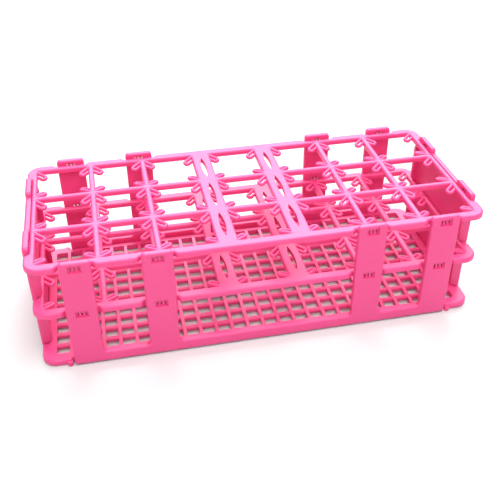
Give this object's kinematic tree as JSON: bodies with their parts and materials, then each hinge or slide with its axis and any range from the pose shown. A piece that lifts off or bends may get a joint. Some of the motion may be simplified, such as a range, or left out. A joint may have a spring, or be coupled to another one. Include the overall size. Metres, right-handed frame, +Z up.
{
  "type": "test tube rack",
  "caption": "Long low rack with two open tube shelves, sprung finger loops at every tube place, a mesh shelf below, and side and end panels that clip on.",
  "frame": {"origin": "on the floor under the middle of the rack", "axes": "+X along the length to the right, +Y from the front to the back, +Z up"},
  "size_m": [0.265, 0.118, 0.0725],
  "materials": {
    "pink_plastic": "satin moulded polypropylene"
  },
  "bodies": {
    "root": {"top_shelf": "pink_plastic", "middle_shelf": "pink_plastic", "bottom_shelf": "pink_plastic", "front_panel": "pink_plastic", "back_panel": "pink_plastic", "left_end_panel": "pink_plastic", "right_end_panel": "pink_plastic"}
  },
  "joints": []
}
